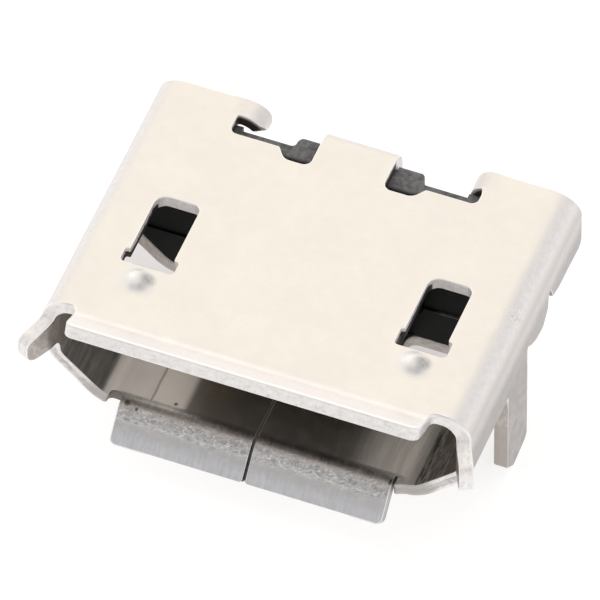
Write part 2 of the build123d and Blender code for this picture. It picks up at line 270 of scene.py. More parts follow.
def section(a):
    """Middle line of the folded section: x, z and the angle of its outward normal from +z towards +x."""
    x, z, g = np.zeros_like(a), np.zeros_like(a), np.zeros_like(a)
    m = a <= A1
    x[m], z[m], g[m] = a[m], H - M, 0
    m = (a > A1) & (a <= A2)
    g[m] = (a[m] - A1) / (R_TOP - M)
    x[m] = A1 + (R_TOP - M) * np.sin(g[m])
    z[m] = WALL_Z + (R_TOP - M) * np.cos(g[m])
    m = (a > A2) & (a <= A3)
    g[m] = math.pi / 2
    x[m] = X - M
    z[m] = WALL_Z - (a[m] - A2)
    m = (a > A3) & (a <= A4)
    g[m] = math.pi / 2 + (a[m] - A3) / (R_HI - M)
    x[m] = X - R_HI + (R_HI - M) * np.sin(g[m])
    z[m] = Z_HI + (R_HI - M) * np.cos(g[m])
    m = (a > A4) & (a <= A5)
    q = math.sqrt(0.5)
    g[m] = math.pi * 3 / 4
    x[m] = X - R_HI + (R_HI - M) * q - q * (a[m] - A4)
    z[m] = Z_HI - (R_HI - M) * q - q * (a[m] - A4)
    m = (a > A5) & (a <= A6)
    g[m] = math.pi * 3 / 4 + (a[m] - A5) / (R_LO - M)
    x[m] = X_LO + (R_LO - M) * np.sin(g[m])
    z[m] = R_LO + (R_LO - M) * np.cos(g[m])
    m = a > A6
    g[m] = math.pi
    x[m] = X_LO - (a[m] - A6)
    z[m] = M
    return x, z, g


def bend(u, r, g):
    """Travel along and away from the sheet, and the turn, at a distance u past the start of a bend."""
    g = np.radians(g) if np.isscalar(g) else g
    th = np.minimum(np.maximum(u, 0) / r, g)
    rest = np.maximum(u - r * g, 0)
    along = np.where(u < 0, u, r * np.sin(th) + rest * np.cos(th))
    away = r * (1 - np.cos(th)) + rest * np.sin(th)
    return along, away, th


def fold(s, t, h, reg):
    """The folded place of a point of the blank, h off its middle surface."""
    side = np.where(s < 0, -1.0, 1.0)
    a = np.abs(s)
    arm_x = np.where(s < 0, ARMS[-1][0], ARMS[1][0])
    a_sec = np.where(reg == 5, arm_x, a)
    x, z, g = section(a_sec)
    leg = reg == 6
    x = np.where(leg, X - M, x)
    z = np.where(leg, WALL_Z - (a - A2), z)
    g = np.where(leg, math.pi / 2, g)
    y = t.copy()
    nx, nz, ny = np.sin(g), np.cos(g), np.zeros_like(g)

    def flap(mask, y0, r, ang, toward, back, share=1.0):
        nonlocal x, y, z, nx, ny, nz
        u = (y0 - t) if back < 0 else (t - y0)
        along, away, th = bend(u, r, ang)
        along = u + (along - u) * share
        away, th = away * share, th * share
        ax, az = np.sin(g), np.cos(g)
        x = np.where(mask, x + toward * away * ax, x)
        z = np.where(mask, z + toward * away * az, z)
        y = np.where(mask, y0 + back * along, y)
        nx = np.where(mask, np.cos(th) * ax, nx)
        nz = np.where(mask, np.cos(th) * az, nz)
        ny = np.where(mask, -toward * np.sin(th) * back, ny)

    flap(reg == 1, LIP_Y, LIP_R, LIP_G, 1, -1)
    e0, e1 = wall_s(EAR_Z1), wall_s(EAR_Z0)
    v = np.minimum(np.clip((a - e0 + 0.3) / 0.3, 0, 1), np.clip((e1 + 0.3 - a) / 0.3, 0, 1))
    flap(reg == 2, EAR_Y, EAR_R, EAR_G, 1, -1, v * v * (3 - 2 * v))
    flap(reg == 3, FL_Y, FL_R, FL_G, 1, -1)
    flap(reg == 4, TAB_Y, TAB_R, TAB_G, -1, 1)
    arm = reg == 5
    ang = np.radians(np.where(s < 0, ARMS[-1][2], ARMS[1][2]))
    u = arm_x - a
    along, away, th = bend(u, np.where(s < 0, ARMS[-1][1], ARMS[1][1]), ang)
    v = np.clip((t - 4.50) / 0.14, 0, 1)
    v = v * v * (3 - 2 * v)
    along, away, th = u + (along - u) * v, away * v, th * v
    x = np.where(arm, arm_x - along, x)
    z = np.where(arm, H - M - away, z)
    nx = np.where(arm, -np.sin(th), nx)
    nz = np.where(arm, np.cos(th), nz)
    return np.stack([(x + h * nx) * side, y + h * ny, z + h * nz], 1)


def place(s, t, h, reg):
    return fold(s, t, h + lift(s, t, h > 0) * np.where(h > 0, 1.0, 1.0), reg)


def frames(s, t, h, reg):
    """Unit tangents along s and t, and the outward normal, at a point of the folded sheet."""
    e = 0.004
    ds = place(s + e, t, h, reg) - place(s - e, t, h, reg)
    dt = place(s, t + e, h, reg) - place(s, t - e, h, reg)
    n = np.cross(ds, dt)
    n /= np.linalg.norm(n, axis=1)[:, None]
    ds /= np.linalg.norm(ds, axis=1)[:, None]
    dt /= np.linalg.norm(dt, axis=1)[:, None]
    return ds, dt, n


# -------------------------------------------------------------- triangles
def inside(p, loops):
    odd = np.zeros(len(p), bool)
    for q in loops:
        a, b = q, np.roll(q, -1, 0)
        for k in range(0, len(p), 4000):
            x, y = p[k:k + 4000, :1], p[k:k + 4000, 1:]
            cross = ((a[:, 1] > y) != (b[:, 1] > y)) & (
                x < (b[:, 0] - a[:, 0]) * (y - a[:, 1]) / np.where(b[:, 1] == a[:, 1], 1e-12, b[:, 1] - a[:, 1]) + a[:, 0])
            odd[k:k + 4000] ^= (cross.sum(1) % 2).astype(bool)
    return odd


def grid(s0, s1, ns, t0, t1, nt):
    s, t = np.meshgrid(np.linspace(s0, s1, ns + 1), np.linspace(t0, t1, nt + 1))
    return np.stack([s.ravel(), t.ravel()], 1)


def blank_points():
    patches = []
    for m in (1, -1):
        patches += [
            (m * 1.95, m * 2.93, 30, 0.26, 1.22, 29),
            (m * A1, m * A2, 14, -0.2, 5.10, 48),
            (m * A3, m * A4, 8, -0.05, 4.49, 42),
            (m * A5, m * A6, 11, -0.05, 4.49, 42),
            (m * wall_s(1.99), m * wall_s(1.31), 9, -0.30, 0.10, 12),
            (m * 6.40, m * 8.80, 27, -0.1735, 0.07, 7),
            (m * 1.50, m * 2.32, 28, 4.48, 5.03, 8),
        ]
    patches += [(-3.15, 3.07, 60, -0.3815, -0.20, 6), (-0.69, 0.615, 13, 4.62, 5.0127, 11)]
    taken, out = [], []

    def free(p, gap):
        ok = np.ones(len(p), bool)
        for s0, s1, t0, t1 in taken:
            ok &= ~((p[:, 0] > s0 - gap) & (p[:, 0] < s1 + gap) & (p[:, 1] > t0 - gap) & (p[:, 1] < t1 + gap))
        return ok

    for s0, s1, ns, t0, t1, nt in patches:
        p = grid(s0, s1, ns, t0, t1, nt)
        out.append(p[free(p, 0.01)])
        taken.append((min(s0, s1), max(s0, s1), t0, t1))
    base = grid(-8.8, 8.8, 170, -0.80, 5.40, 60)
    out.append(base[free(base, 0.04)])
    return np.concatenate(out)


EDGE_IN = 0.022


def edge_widths(pts, hole):
    """How wide the outer arris is rounded: little at the windows and the rear cuts, more at the rims."""
    a, t = np.abs(pts[:, 0]), pts[:, 1]
    w = np.full(len(pts), 0.048)
    w[(a < 2.35) & (t > 3.9)] = 0.026
    w[(a > 4.9) & (a < 7.5) & (t > 1.5) & (t < 3.1)] = 0.022
    w[(a > 6.0) & (a < 6.5) & (t > -0.2) & (t < 0.3)] = 0.034
    w[(a > 8.6) & (t > 0.1)] = 0.020
    w[(a > wall_s(1.30)) & (a < wall_s(0.95)) & (t > 1.6) & (t < 1.7)] = 0.022
    w[(a > 3.9) & (a < wall_s(0.98)) & (t > 2.5) & (t < 4.2)] = 0.032
    if hole:
        w[:] = 0.022
    k = np.array([1, 2, 3, 2, 1]) / 9.0
    for _ in range(3):
        w = np.minimum(w, sum(f * np.roll(w, i - 2) for i, f in enumerate(k)))
    return w


def sheet_mesh(name):
    loops = [walk(OUTLINE, 0.045)] + [walk(window(m), 0.045, hole=True) for m in (1, -1)]
    sizes = [len(p) for p, _, _ in loops]
    pts = np.concatenate([p for p, _, _ in loops])
    nrm = np.concatenate([n for _, n, _ in loops])
    dist = np.concatenate([d for _, _, d in loops])
    start = np.cumsum([0] + sizes)
    wide = np.concatenate([edge_widths(pts[start[i]:start[i + 1]], i > 0) for i in range(3)])
    ring0 = pts - nrm * wide[:, None]
    rings = [ring0[start[i]:start[i + 1]] for i in range(3)]
    p = blank_points()
    p = p[inside(p, rings)]
    tree = KDTree(len(ring0))
    for i, q in enumerate(ring0):
        tree.insert((q[0], q[1], 0), i)
    tree.balance()
    p = p[[tree.find((q[0], q[1], 0))[2] > 0.026 for q in p]]
    nb = len(ring0)
    verts = [Vector(q) for q in np.concatenate([ring0, p])]
    edges = []
    for i in range(3):
        k = np.arange(start[i], start[i + 1])
        edges += [(int(a), int(b)) for a, b in zip(k, np.roll(k, -1))]
    out = delaunay_2d_cdt(verts, edges, [], 0, 1e-7)
    stray = [tuple(round(x, 3) for x in out[0][i]) for i, o in enumerate(out[3]) if not o]
    if stray:
        raise SystemExit(f"the outline crosses itself at {stray[:12]}")
    back = [o[0] for o in out[3]]
    tri = np.array([[back[i] for i in f] for f in out[2]])
    co = np.concatenate([ring0, p])
    mid = co[tri].mean(1)
    tri = tri[inside(mid, rings)]
    d1, d2 = co[tri[:, 1]] - co[tri[:, 0]], co[tri[:, 2]] - co[tri[:, 0]]
    flip = (d1[:, 0] * d2[:, 1] - d1[:, 1] * d2[:, 0]) < 0
    tri[flip] = tri[flip][:, ::-1]

    # layers of vertices: outer face (ring and inner points), the rings of the rounded cut edge, inner face
    prof = []
    for g in (0, 22.5, 45, 67.5, 90):
        g = math.radians(g)
        prof.append((wide * (1 - math.sin(g)), M - wide * (1 - math.cos(g)), math.cos(g), math.sin(g)))
    for g in (90, 60, 30, 0):
        g = math.radians(g)
        prof.append((np.full(nb, EDGE_IN * (1 - math.sin(g))), np.full(nb, -M + EDGE_IN * (1 - math.cos(g))),
                     -math.cos(g), math.sin(g)))
    S, TT, HH, CN, CO, OS, OT, AL, ED = [], [], [], [], [], [], [], [], []
    for inset, h, cn, co_ in prof:
        q = pts - nrm * inset[:, None]
        S.append(q[:, 0]); TT.append(q[:, 1]); HH.append(h)
        CN.append(np.full(nb, cn)); CO.append(np.full(nb, co_))
        OS.append(nrm[:, 0]); OT.append(nrm[:, 1]); AL.append(dist); ED.append(np.full(nb, co_))
    for h, cn in ((M, 1.0), (-M, -1.0)):
        n = len(p)
        S.append(p[:, 0]); TT.append(p[:, 1]); HH.append(np.full(n, h))
        CN.append(np.full(n, cn)); CO.append(np.zeros(n))
        OS.append(np.zeros(n)); OT.append(np.zeros(n)); AL.append(np.zeros(n)); ED.append(np.zeros(n))
    S, TT, HH, CN, CO, OS, OT, AL, ED = [np.concatenate(v) for v in (S, TT, HH, CN, CO, OS, OT, AL, ED)]
    reg = classify(S, TT)
    pos = place(S, TT, HH, reg)
    es, et, n = frames(S, TT, HH, reg)
    o = OS[:, None] * es + OT[:, None] * et
    normal = CN[:, None] * n * -1 + CO[:, None] * o
    # s runs to +x over the top and t to the rear, so s x t points out of the sheet
    normal = CN[:, None] * n + CO[:, None] * o
    normal /= np.linalg.norm(normal, axis=1)[:, None]

    nr = len(prof)
    faces = []
    first_in = nb * nr
    outer_id = np.concatenate([np.arange(nb), first_in + np.arange(len(p))])
    inner_id = np.concatenate([(nr - 1) * nb + np.arange(nb), first_in + len(p) + np.arange(len(p))])
    faces.append(outer_id[tri])
    faces.append(inner_id[tri][:, ::-1])
    for i in range(3):
        k = np.arange(start[i], start[i + 1])
        k2 = np.roll(k, -1)
        for r in range(nr - 1):
            a, b, c, d = k + r * nb, k2 + r * nb, k2 + (r + 1) * nb, k + (r + 1) * nb
            faces.append(np.stack([a, c, b], 1))
            faces.append(np.stack([a, d, c], 1))
    faces = np.concatenate(faces)
    # outward winding, judged by the normals worked out above
    pa, pb, pc = pos[faces[:, 0]], pos[faces[:, 1]], pos[faces[:, 2]]
    fn = np.cross(pb - pa, pc - pa)
    wrong = (fn * normal[faces].sum(1)).sum(1) < 0
    faces[wrong] = faces[wrong][:, ::-1]

    pos[:, 1] -= Y_LEG
    me = bpy.data.meshes.new(name)
    me.from_pydata((pos * MM).tolist(), [], faces.tolist())
    me.validate(clean_customdata=False)
    me.update()
    me.polygons.foreach_set("use_smooth", [True] * len(me.polygons))
    me.normals_split_custom_set_from_vertices(normal.tolist())
    for key, val in (("cut", ED), ("across", HH / M), ("along", AL), ("blank_s", S), ("blank_t", TT)):
        at = me.attributes.new(key, "FLOAT", "POINT")
        at.data.foreach_set("value", val.astype(np.float32))
    ob = bpy.data.objects.new(name, me)
    scene.collection.objects.link(ob)
    print(name, "vertices", len(pos), "triangles", len(faces), "turned", int(wrong.sum()))
    return ob


# =====================================================================
# Materials
# =====================================================================
class Nodes:
    """Small helper that writes node trees."""

    def __init__(self, name):
        self.mat = bpy.data.materials.new(name)
        self.mat.use_nodes = True
        self.tree = self.mat.node_tree
        self.tree.nodes.clear()
        self.out = self.add("ShaderNodeOutputMaterial")
        self.bsdf = self.add("ShaderNodeBsdfPrincipled")
        self.link(self.bsdf.outputs[0], self.out.inputs[0])

    def add(self, kind, **props):
        n = self.tree.nodes.new(kind)
        for k, v in props.items():
            setattr(n, k, v)
        return n

    def link(self, a, b):
        self.tree.links.new(a, b)

    def put(self, socket, value):
        if isinstance(value, bpy.types.NodeSocket):
            self.link(value, socket)
        elif value is not None:
            socket.default_value = value

    def attr(self, name):
        return self.add("ShaderNodeAttribute", attribute_name=name).outputs["Fac"]

    def math(self, op, a, b=None, c=None, clamp=False):
        n = self.add("ShaderNodeMath", operation=op, use_clamp=clamp)
        for i, v in enumerate((a, b, c)):
            if v is not None:
                self.put(n.inputs[i], v)
        return n.outputs[0]

    def combine(self, x, y, z):
        n = self.add("ShaderNodeCombineXYZ")
        for i, v in enumerate((x, y, z)):
            self.put(n.inputs[i], v)
        return n.outputs[0]

    def coords(self, scale=(1000, 1000, 1000)):
        tc = self.add("ShaderNodeTexCoord")
        mp = self.add("ShaderNodeMapping")
        mp.inputs["Scale"].default_value = scale
        self.link(tc.outputs["Object"], mp.inputs["Vector"])
        return mp.outputs[0]

    def noise(self, vec, scale, detail=3.0, rough=0.5, distort=0.0):
        n = self.add("ShaderNodeTexNoise")
        self.put(n.inputs["Vector"], vec)
        n.inputs["Scale"].default_value = scale
        n.inputs["Detail"].default_value = detail
        n.inputs["Roughness"].default_value = rough
        n.inputs["Distortion"].default_value = distort
        return n.outputs[0]

    def span(self, value, a0, a1, b0=0.0, b1=1.0, smooth=True):
        n = self.add("ShaderNodeMapRange", interpolation_type="SMOOTHSTEP" if smooth else "LINEAR", clamp=True)
        self.put(n.inputs[0], value)
        for i, v in enumerate((a0, a1, b0, b1)):
            n.inputs[i + 1].default_value = v
        return n.outputs[0]

    def mix(self, fac, a, b):
        n = self.add("ShaderNodeMix", data_type="RGBA")
        self.put(n.inputs["Factor"], fac)
        ins = [s for s in n.inputs if s.type == "RGBA"]
        for sock, v in zip(ins, (a, b)):
            self.put(sock, v)
        return [s for s in n.outputs if s.type == "RGBA"][0]

    def bump(self, height, strength, distance, normal=None):
        n = self.add("ShaderNodeBump")
        n.inputs["Strength"].default_value = strength
        n.inputs["Distance"].default_value = distance
        self.put(n.inputs["Height"], height)
        if normal is not None:
            self.link(normal, n.inputs["Normal"])
        return n.outputs[0]


def nickel():
    m = Nodes("nickel")
    cut, across, along = m.attr("cut"), m.attr("across"), m.attr("along")
    s, t = m.attr("blank_s"), m.attr("blank_t")
    obj = m.coords()
    sep = m.add("ShaderNodeSeparateXYZ")
    m.link(obj, sep.inputs[0])
    px, py, pz = sep.outputs
    a = m.math("ABSOLUTE", s)
    both = lambda u, v: m.math("MULTIPLY", u, v)

    def band(v, v0, v1, soft):
        return both(m.span(v, v0 - soft, v0), m.span(v, v1 + soft, v1))

    cloud = m.noise(obj, 0.8, 2.0, 0.5)
    mottle = m.noise(obj, 5.5, 4.0, 0.6)
    fleck = m.noise(obj, 11.0, 4.0, 0.65)
    grain = m.noise(obj, 26.0, 2.0, 0.5)
    inner = m.span(across, 0.0, -0.9)
    outer = m.span(across, 0.0, 0.9)
    face = m.math("SUBTRACT", 1.0, m.span(cut, 0.1, 0.8))
    # drawing marks across the flange's bend, lines along the inside, rolling marks on the top
    drawn = m.noise(m.combine(m.math("MULTIPLY", s, 15.0), m.math("MULTIPLY", t, 1.8), across), 1.0, 3.0, 0.62)
    wrinkle = m.noise(m.combine(m.math("MULTIPLY_ADD", t, 5.0, m.math("MULTIPLY", s, 11.0)), m.math("MULTIPLY", t, 22.0), across), 1.0, 4.0, 0.62, 1.1)
    rolled = m.noise(m.combine(m.math("MULTIPLY", s, 2.2), m.math("MULTIPLY", t, 13.0), across), 1.0, 2.0, 0.5)
    # the cut face: fine upright marks left by the die
    die = m.noise(m.combine(m.math("MULTIPLY", along, 20.0), m.math("MULTIPLY", across, 0.8), 0.0), 1.0, 3.0, 0.65)

    def spot(x, y, r1, r0):
        dx, dy = m.math("SUBTRACT", px, x), m.math("SUBTRACT", py, y - Y_LEG)
        d = m.math("SQRT", m.math("ADD", both(dx, dx), both(dy, dy)))
        return m.span(m.math("ADD", d, m.math("MULTIPLY", m.math("SUBTRACT", mottle, 0.5), 0.08)), r1, r0)

    corner = band(a, A1 + 0.30, A2 - 0.15, 0.20)
    lip = band(t, LIP_Y - 0.24, LIP_Y + 0.02, 0.12)
    flange = both(m.span(a, 6.10, 6.30), m.span(t, FL_Y + 0.06, FL_Y - 0.04))
    crease = both(m.span(a, 6.20, 6.34), band(t, -0.22, -0.12, 0.13))

    col = m.mix(m.span(cloud, 0.35, 0.68), (0.742, 0.698, 0.660, 1), (0.760, 0.716, 0.674, 1))
    col = m.mix(m.span(mottle, 0.35, 0.75, 0.0, 0.22), col, (0.70, 0.665, 0.640, 1))
    # corner folds: painted light, paler and cooler than the plate, with pale and dark flecks
    col = m.mix(both(corner, m.span(mottle, 0.30, 0.60, 0.60, 1.0)), col, (0.785, 0.745, 0.730, 1))
    col = m.mix(both(both(corner, outer), m.span(fleck, 0.42, 0.72, 0.0, 0.35)), col, (0.90, 0.89, 0.89, 1))
    col = m.mix(both(both(corner, outer), m.span(fleck, 0.50, 0.32, 0.0, 0.30)), col, (0.70, 0.665, 0.655, 1))
    # painted light: the outer face of the lip is paler
    col = m.mix(both(m.span(t, LIP_Y + 0.05, LIP_Y - 0.15), both(outer, m.span(a, 3.4, 3.3))), col, (0.86, 0.825, 0.805, 1))
    col = m.mix(both(lip, m.span(mottle, 0.35, 0.65, 0.0, 0.25)), col, (0.70, 0.672, 0.655, 1))
    # outer side walls: painted shade, the darker the nearer their lower edge
    wall = both(outer, band(a, A2 - 0.02, A4, 0.26))
    col = m.mix(both(wall, 0.95), col, (0.545, 0.505, 0.495, 1))
    low = both(outer, band(a, wall_s(1.45), A4, 0.40))
    col = m.mix(both(low, 0.95), col, (0.350, 0.325, 0.315, 1))
    # a scuff on the right-hand corner fold
    scuff_and_sheen = both(both(m.span(s, 3.44, 3.50), m.span(s, 3.70, 3.62)), band(t, 2.28, 2.50, 0.10))
    col = m.mix(both(scuff_and_sheen, m.span(grain, 0.50, 0.66, 0.0, 0.34)), col, (0.42, 0.41, 0.41, 1))
    col = m.mix(both(scuff_and_sheen, m.span(grain, 0.48, 0.34, 0.0, 0.34)), col, (0.98, 0.98, 0.98, 1))
    # the rear arms: painted shade, greyer towards their tips
    arms = both(both(m.span(a, 2.45, 2.10), m.span(a, 1.1, 1.2)), m.span(t, 4.55, 4.70))
    col = m.mix(both(both(arms, outer), m.span(mottle, 0.3, 0.65, 0.35, 0.85)), col, (0.665, 0.630, 0.615, 1))
    # pressed domes: painted light and shade, a neutral pale tone over each dome, painted shade towards its lower
    # right and a painted highlight on its upper left
    for x, y in ((-2.431, 0.760), (2.425, 0.730)):
        col = m.mix(both(outer, both(spot(x, y, 0.33, 0.20), 0.8)), col, (0.73, 0.72, 0.715, 1))
        col = m.mix(both(outer, both(spot(x + 0.12, y - 0.10, 0.27, 0.03), 0.60)), col, (0.55, 0.545, 0.545, 1))
        col = m.mix(both(outer, both(spot(x + 0.17, y + 0.04, 0.19, 0.04), m.span(fleck, 0.35, 0.60, 0.55, 0.95))), col, (0.34, 0.335, 0.33, 1))
        col = m.mix(both(outer, both(spot(x - 0.10, y + 0.02, 0.15, 0.02), m.span(fleck, 0.35, 0.60, 0.20, 0.8))), col, (0.90, 0.90, 0.905, 1))
    # inside of the floor and the bevels: dull, with lines along the sheet
    draw = m.noise(m.combine(m.math("MULTIPLY", s, 13.0), m.math("MULTIPLY", t, 1.1), 3.0), 1.0, 3.0, 0.6)
    inside = both(inner, m.span(a, A3 - 0.1, A3 + 0.1))
    inside = both(inside, m.math("SUBTRACT", 1.0, flange))
    col = m.mix(both(inside, m.span(draw, 0.30, 0.70, 0.10, 0.50)), col, (0.52, 0.49, 0.46, 1))
    # painted shade inside the left-hand bevel, streaked along the sheet
    bevel_l = both(both(inner, m.span(s, -4.6, -4.9)), m.span(a, 5.98, 5.86))
    col = m.mix(both(bevel_l, m.span(draw, 0.30, 0.70, 0.18, 0.62)), col, (0.265, 0.262, 0.252, 1))
    # inner floor: painted light on its left part, pinker towards the middle with a dark line where the pink ends;
    # painted shade in the middle under the tongue; painted light on its right part
    floor_in = both(inner, m.span(a, 5.87, 5.98))
    floor_in = both(floor_in, m.math("SUBTRACT", 1.0, flange))
    lit_floor_left = both(floor_in, m.span(px, -1.30, -1.45))
    col = m.mix(both(lit_floor_left, m.span(draw, 0.30, 0.70, 0.98, 0.86)), col, (0.97, 0.905, 0.845, 1))
    lit_floor_pink = both(lit_floor_left, m.span(px, -2.00, -1.92))
    col = m.mix(both(lit_floor_pink, m.span(draw, 0.30, 0.70, 1.0, 0.75)), col, (1.0, 0.92, 0.84, 1))
    line_in = both(lit_floor_left, band(m.math("ADD", px, both(m.math("SUBTRACT", cloud, 0.5), 0.15)), -1.985, -1.965, 0.02))
    col = m.mix(both(line_in, 0.8), col, (0.45, 0.40, 0.36, 1))
    shaded_floor_mid = both(floor_in, both(m.span(px, -1.45, -1.30), m.span(px, 1.85, 1.35)))
    col = m.mix(both(shaded_floor_mid, 0.75), col, (0.30, 0.275, 0.25, 1))
    lit_floor_right = both(both(inside, m.span(px, 1.5, 2.0)), m.span(a, 5.9, 6.0))
    col = m.mix(both(lit_floor_right, m.span(draw, 0.35, 0.60, 0.85, 0.40)), col, (0.90, 0.83, 0.77, 1))
    scratch = m.noise(m.combine(m.math("MULTIPLY", s, 17.0), m.math("MULTIPLY", t, 2.6), 9.0), 1.0, 4.0, 0.66, 0.5)
    bevel_r = both(both(inner, m.span(s, 4.7, 4.9)), m.span(a, 6.02, 5.88))
    col = m.mix(both(bevel_r, m.span(scratch, 0.44, 0.56, 0.0, 0.85)), col, (0.16, 0.15, 0.14, 1))
    brown = both(both(inner, m.span(px, 2.85, 3.15)), m.span(mottle, 0.35, 0.65, 0.25, 0.8))
    col = m.mix(brown, col, (0.36, 0.27, 0.23, 1))
    # the flange: bright and dull streaks and flecks; painted shade where it leaves the floor, painted light brighter
    # towards its tip
    root = both(both(inner, m.span(a, 6.15, 6.30)), band(t, 0.0, 0.09, 0.06))
    col = m.mix(both(root, m.span(mottle, 0.35, 0.65, 0.45, 0.75)), col, (0.24, 0.220, 0.205, 1))
    shade = both(flange, m.span(t, -0.40, 0.02))
    col = m.mix(both(shade, 0.80), col, (0.46, 0.435, 0.415, 1))
    shade = both(flange, m.span(t, -0.34, -0.60))
    col = m.mix(both(shade, 0.80), col, (0.93, 0.915, 0.925, 1))
    col = m.mix(both(flange, m.span(drawn, 0.34, 0.66, 0.0, 0.50)), col, (0.67, 0.66, 0.665, 1))
    col = m.mix(both(flange, m.span(fleck, 0.48, 0.74, 0.0, 0.4)), col, (0.92, 0.92, 0.93, 1))
    # painted highlights and painted shade along the wrinkles of the crease
    col = m.mix(both(crease, m.span(wrinkle, 0.48, 0.38, 0.0, 0.50)), col, (0.26, 0.25, 0.24, 1))
    col = m.mix(both(crease, m.span(wrinkle, 0.54, 0.64, 0.0, 0.65)), col, (1.0, 0.99, 0.98, 1))
    # small pits and a tear beside the flange's root
    for x, y, r in ((-2.315, -0.062, 0.075), (-1.552, 0.189, 0.045), (-2.137, -0.120, 0.035), (2.365, -0.060, 0.085)):
        col = m.mix(both(both(inner, spot(x, y, r, r * 0.35)), 0.85), col, (0.10, 0.075, 0.06, 1))
    # ears: painted shade on their inner face, flecked
    ear = both(band(a, wall_s(EAR_Z1) - 0.05, wall_s(EAR_Z0) + 0.05, 0.03), m.span(t, 0.0, -0.15))
    col = m.mix(both(both(ear, inner), m.span(fleck, 0.35, 0.62, 0.25, 0.85)), col, (0.44, 0.405, 0.385, 1))
    # legs: painted shade, greyer below the board
    leg = both(both(m.span(a, wall_s(1.35), wall_s(1.05)), m.span(a, 7.05, 6.95)), band(t, 1.66, 2.60, 0.02))
    col = m.mix(both(leg, m.span(mottle, 0.3, 0.7, 0.85, 1.0)), col, (0.318, 0.291, 0.279, 1))
    # bare edge, paler than the plate, with a painted highlight on its outer arris
    col = m.mix(m.span(cut, 0.2, 0.95, 0.0, 0.85), col, (0.875, 0.85, 0.835, 1))
    col = m.mix(both(m.span(cut, 0.5, 1.0), m.span(die, 0.52, 0.72, 0.0, 0.35)), col, (0.55, 0.52, 0.49, 1))
    # coarser marks on the cut faces
    shear = m.noise(m.combine(m.math("MULTIPLY", along, 7.0), m.math("MULTIPLY", across, 1.6), 5.0), 1.0, 4.0, 0.65, 0.4)
    col = m.mix(both(m.span(cut, 0.5, 0.9), m.span(shear, 0.47, 0.34, 0.0, 0.38)), col, (0.56, 0.53, 0.52, 1))
    col = m.mix(both(m.span(cut, 0.5, 0.9), m.span(shear, 0.53, 0.66, 0.0, 0.55)), col, (0.98, 0.965, 0.95, 1))
    # painted shade across the middle of the bevel rims' cut faces, streaked by the shear marks
    rim = both(both(m.span(cut, 0.70, 0.95), band(a, A3 + 0.10, A6 + 0.1, 0.15)), m.span(t, 0.3, 0.1))
    col = m.mix(both(both(rim, band(across, -0.35, 0.30, 0.25)), m.span(shear, 0.35, 0.6, 0.9, 0.5)), col, (0.42, 0.40, 0.385, 1))
    # painted highlights on the outer arris, and on the inner arris near the front
    col = m.mix(both(band(cut, 0.30, 0.80, 0.2), m.math("MULTIPLY", outer, 0.7)), col, (0.93, 0.92, 0.91, 1))
    col = m.mix(both(band(cut, 0.25, 0.80, 0.15), both(inner, m.span(t, 0.15, 0.05))), col, (0.96, 0.94, 0.93, 1))
    # painted shade on the cut faces of the legs
    edge_leg = both(both(m.span(cut, 0.4, 0.9), m.span(a, wall_s(0.40), wall_s(0.0))),
                    both(m.span(a, 7.0, 6.9), m.span(t, 2.0, 1.9)))
    col = m.mix(both(edge_leg, 0.75), col, (0.40, 0.375, 0.355, 1))
    # painted shade on cut faces: round the board opening, the lower rear edge, the rear cuts, the reliefs
    edge = m.span(cut, 0.35, 0.75)
    opening = both(edge, both(band(a, 4.9, 7.5, 0.1), band(t, 1.5, 3.1, 0.1)))
    col = m.mix(both(opening, m.span(shear, 0.35, 0.65, 0.95, 0.70)), col, (0.42, 0.375, 0.34, 1))
    free = both(edge, both(band(a, 3.9, wall_s(0.95), 0.1), m.span(t, 2.62, 2.70)))
    col = m.mix(both(free, 0.85), col, (0.30, 0.285, 0.275, 1))
    rear_cut = both(edge, both(m.span(a, 2.45, 2.35), band(t, 3.95, 4.66, 0.03)))
    col = m.mix(both(rear_cut, m.span(across, 0.75, 0.35)), col, (0.085, 0.065, 0.052, 1))
    relief = both(edge, both(band(a, 5.95, 6.45, 0.04), band(t, -0.02, 0.15, 0.03)))
    col = m.mix(both(relief, 0.9), col, (0.16, 0.13, 0.11, 1))
    # window walls: painted light on the left-hand wall of the left window, and painted shade along the lower edge of
    # the left-hand wall of each window
    wall_l = both(m.span(cut, 0.1, 0.4), both(band(t, 1.10, 2.48, 0.03), m.span(a, 3.2, 3.1)))
    side_l = both(wall_l, band(px, -2.92, -2.70, 0.02))
    col = m.mix(both(side_l, 0.9), col, (0.97, 0.915, 0.87, 1))
    col = m.mix(both(side_l, m.span(m.math("ADD", across, both(m.math("SUBTRACT", shear, 0.5), 2.2)), 0.20, -0.05)), col, (0.05, 0.04, 0.035, 1))
    side_r = both(wall_l, band(px, 1.93, 2.13, 0.02))
    col = m.mix(both(side_r, m.span(m.math("ADD", across, both(m.math("SUBTRACT", shear, 0.5), 0.8)), 0.45, 0.15)), col, (0.045, 0.04, 0.038, 1))
